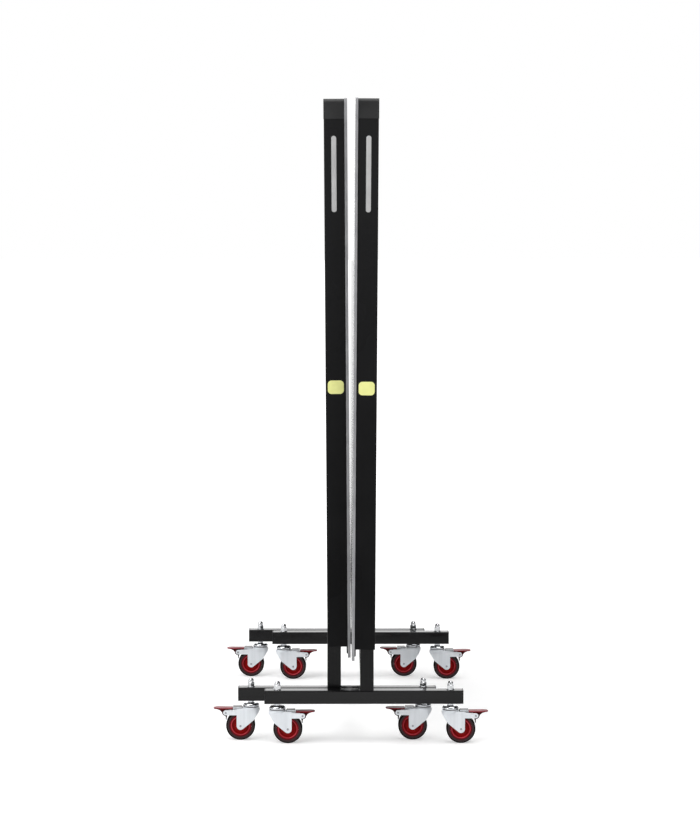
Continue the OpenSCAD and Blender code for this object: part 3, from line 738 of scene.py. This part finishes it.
def shadow_strip(place, stem, f):
    """A thin black strip under the tongue, put where the tongue casts a shadow line: painted shade. A
    superellipse |a/h|^4 + |b/w|^8 = 1 swept along the tongue.
    """
    thick, wide, level = 1.1, 12.3, 83.4
    x = np.array([22.0, 22.1, 22.6, 34.0, 45.9, 46.4, 46.5])
    shrink = np.array([0.6, 0.9, 1, 1, 1, 0.9, 0.6])[:, None, None]
    angle = np.arange(32) * 2 * PI / 32
    loop = np.stack([thick * signed_power(np.sin(angle), 2 / 4),
                     wide * signed_power(np.cos(angle), 2 / 8)], axis=1)
    path = np.stack([stem[0] + f * x * MM, np.full(len(x), stem[1]), np.full(len(x), level * MM)], axis=1)
    return smooth(along_path(f"{place}_pad", path, shrink * loop * MM), 50)


def dress_caster(side, corner):
    """A caster's turning pieces, hung on its wheel, pedal and swivel."""
    f = facing(side)
    place = f"{side}_{corner}"
    wheel, pedal, swivel = f"{place}_wheel", f"{place}_pedal", f"{place}_swivel"
    axle = joint_at(f"{place}_wheel_spin")
    pin = joint_at(f"{place}_pedal_press")
    stem = joint_at(f"{place}_swivel_turn")
    dress(tyre(place, axle), TYRE, wheel, "tyre_rubber", f"{place}_tyre")
    dress(wheel_core(place, axle), CORE_RED, wheel, "red_core", f"{place}_wheel_core")
    dress(tread(place, pin, f), PEDAL_RED, pedal, "red_pedal", f"{place}_brake_pedal")
    dress(lever(place, pin, f), LEVER_RED, pedal, "red_pedal")
    # A black strip standing in for the shadow under the tongue: painted shade.
    dress(shadow_strip(place, stem, f), BLACK_PLASTIC, swivel, "black_plastic")
    for end, offset in (("near", -FORK_SIDE), ("far", FORK_SIDE)):
        dress(rivet(f"{place}_axle_{end}_end", axle, offset, AXLE_HEAD_R), RIVET_STEEL, swivel, "zinc_plate")
        dress(rivet(f"{place}_pin_{end}_end", pin, offset, PIN_HEAD_R), RIVET_STEEL, swivel, "zinc_plate")


def dress_stem(side, corner):
    """A caster's standing pieces: race, stem and nut, hung on the carriage. Gives the race and the nut."""
    place = f"{side}_{corner}"
    x, y, _ = joint_at(f"{place}_swivel_turn")
    race = dress(swivel_race(place, (x, y, 0)), RACE_ZINC, f"{side}_carriage", "zinc_plate")
    dress(threaded_stem(place, (x, y, 0)), NUT_ZINC, f"{side}_carriage", "zinc_plate")
    nut = dress(acorn_nut(place, (x, y, FOOT_TOP)), NUT_ZINC, f"{side}_carriage", "zinc_plate")
    return race, nut


for side in SIDES:
    for corner in CORNERS:
        dress_caster(side, corner)
    standing = [dress_stem(side, corner) for corner in CORNERS]
    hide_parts(f"{side}_caster_stems")
    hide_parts(f"{side}_acorn_nuts")


# ---------------------------------------------------------------- stickers

def sticker(name, middle, half_wide, half_high, corner_r, side):
    """A thin plate with rounded corners on the near face of an apron.

    Its outline is the rounded rectangle whose corner arcs turn through a quarter circle each, raised
    by its thickness off the rail and shrunk a little at its top to a bevel.
    """
    f = facing(side)
    thick = 0.15
    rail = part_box(f"{side}_side_rails")[0].y
    angle = np.arange(48) * 2 * PI / 48 + PI / 48
    corner_x = np.sign(np.cos(angle)) * (half_wide - corner_r) + corner_r * np.cos(angle)
    corner_z = np.sign(np.sin(angle)) * (half_high - corner_r) + corner_r * np.sin(angle)
    pivot = joint_at(f"{side}_panel_fold")
    rows = []
    for grow, lift in ((0, 0), (1, 0), (1, 0.8 * thick), (1 - thick / half_wide, thick), (0, thick)):
        x = middle[0] + grow * corner_x
        z = middle[1] + grow * corner_z
        across = f * (x * math.cos(LEAN) + z * math.sin(LEAN)) * MM
        up = (-x * math.sin(LEAN) + z * math.cos(LEAN)) * MM
        near = np.full(len(x), rail - lift * MM)
        rows.append(np.stack([pivot[0] + across, near, pivot[2] + up], axis=-1))
    return smooth(surface(name, np.array(rows), around=True), 30)


APRON_MIDDLE = -6  # the middle of the apron's near face, across from the panel's pivot
LABEL_UP = 217
STRIPE_UP = 735
for side in SIDES:
    label = sticker(f"{side}_round_label", (APRON_MIDDLE, LABEL_UP), 19.5, 16.5, 9, side)
    stripe = sticker(f"{side}_stripe", (APRON_MIDDLE + 1, STRIPE_UP), 6, 92, 5.9, side)
    dress(label, LABEL_YELLOW, f"{side}_panel", "board_face")
    dress(stripe, LABEL_GREY, f"{side}_panel", "board_face")


# ---------------------------------------------------------------- floor and light

def floor_finish(name, colour, near_glow, start, end):
    """A matt white floor that keeps its shadows near the object and turns to plain white further off."""
    paper = Finish(name)
    paper.set(Base_Color=colour, Roughness=0.95, Specular_IOR_Level=0.1)
    rays = paper.add("ShaderNodeLightPath")
    seen = paper.maths("MAXIMUM", rays.outputs["Is Camera Ray"], rays.outputs["Is Transmission Ray"])
    reach = paper.add("ShaderNodeVectorMath", operation="LENGTH")
    paper.link(paper.coords, reach.inputs[0])
    far = paper.ramp(reach.outputs["Value"], near_glow, 1.0, start, end)
    split = paper.add("ShaderNodeSeparateXYZ")
    paper.link(paper.coords, split.inputs["Vector"])
    backdrop = paper.ramp(split.outputs["Y"], 0, 0.9, 1.0, 2.5)
    mirrored = paper.maths("MULTIPLY", rays.outputs["Is Glossy Ray"], backdrop)
    glow = paper.maths("ADD", paper.maths("MULTIPLY", seen, far), mirrored)
    paper.shader.inputs["Emission Color"].default_value = (1, 1, 1, 1)
    paper.link(glow, paper.shader.inputs["Emission Strength"])
    return paper.material


def quad(name, corners, material):
    """One flat sheet of the studio."""
    mesh = bpy.data.meshes.new(name)
    mesh.from_pydata(corners, [], [tuple(range(len(corners)))])
    mesh.materials.append(material)
    sheet = bpy.data.objects.new(name, mesh)
    bpy.context.scene.collection.objects.link(sheet)
    return sheet


def area_light(name, place, aim, size, power):
    """A rectangular lamp that looks at a point."""
    data = bpy.data.lights.new(name, "AREA")
    data.shape = "RECTANGLE"
    data.size, data.size_y = size
    data.energy = power
    lamp = bpy.data.objects.new(name, data)
    bpy.context.scene.collection.objects.link(lamp)
    lamp.location = place
    lamp.rotation_euler = (Vector(aim) - Vector(place)).to_track_quat("-Z", "Y").to_euler()


def make_studio():
    """A white floor, three lamps and a white world that is bright behind, dim in front and dark at right."""
    half = 40.0
    quad("floor", [(-half, -half, 0), (half, -half, 0), (half, half, 0), (-half, half, 0)],
         floor_finish("floor_white", (0.80, 0.80, 0.80), 0.40, 1.6, 4.5))
    world = bpy.data.worlds.new("studio")
    bpy.context.scene.world = world
    world.use_nodes = True
    sky = Graph(world.node_tree)
    sky.tree.nodes.clear()
    split = sky.add("ShaderNodeSeparateXYZ")
    sky.link(sky.add("ShaderNodeTexCoord").outputs["Generated"], split.inputs["Vector"])
    across, along = split.outputs["X"], split.outputs["Y"]
    behind = sky.ramp(along, 0.2, 1.5, 0.6, 0.9, "SMOOTHSTEP")
    left = sky.ramp(sky.maths("MULTIPLY", across, -1), 0, 0.5, 0.25, 0.7, "SMOOTHSTEP")
    right = sky.ramp(across, 0, 0.85, 0.15, 0.45, "SMOOTHSTEP")
    level = sky.maths("MULTIPLY", sky.maths("ADD", behind, left), sky.maths("SUBTRACT", 1.0, right))
    seen = sky.add("ShaderNodeLightPath").outputs["Is Camera Ray"]
    background = sky.add("ShaderNodeBackground")
    background.inputs["Color"].default_value = (1, 1, 1, 1)
    white = sky.add("ShaderNodeMix", data_type="FLOAT")
    sky.link(seen, white.inputs["Factor"]).link(level, white.inputs["A"])
    white.inputs["B"].default_value = 1
    sky.link(white.outputs["Result"], background.inputs["Strength"])
    sky.link(background.outputs["Background"], sky.add("ShaderNodeOutputWorld").inputs["Surface"])
    area_light("lamp_top", (0, -1.0, 5.0), (0, 0, 0.4), (8, 5), 330)
    area_light("lamp_left", (-4.5, -5.0, 2.6), (0, 0, 0.7), (3, 3), 110)
    area_light("lamp_right", (4.5, -5.0, 2.6), (0, 0, 0.7), (3, 3), 70)
    bpy.context.scene.view_settings.view_transform = "Standard"


make_studio()
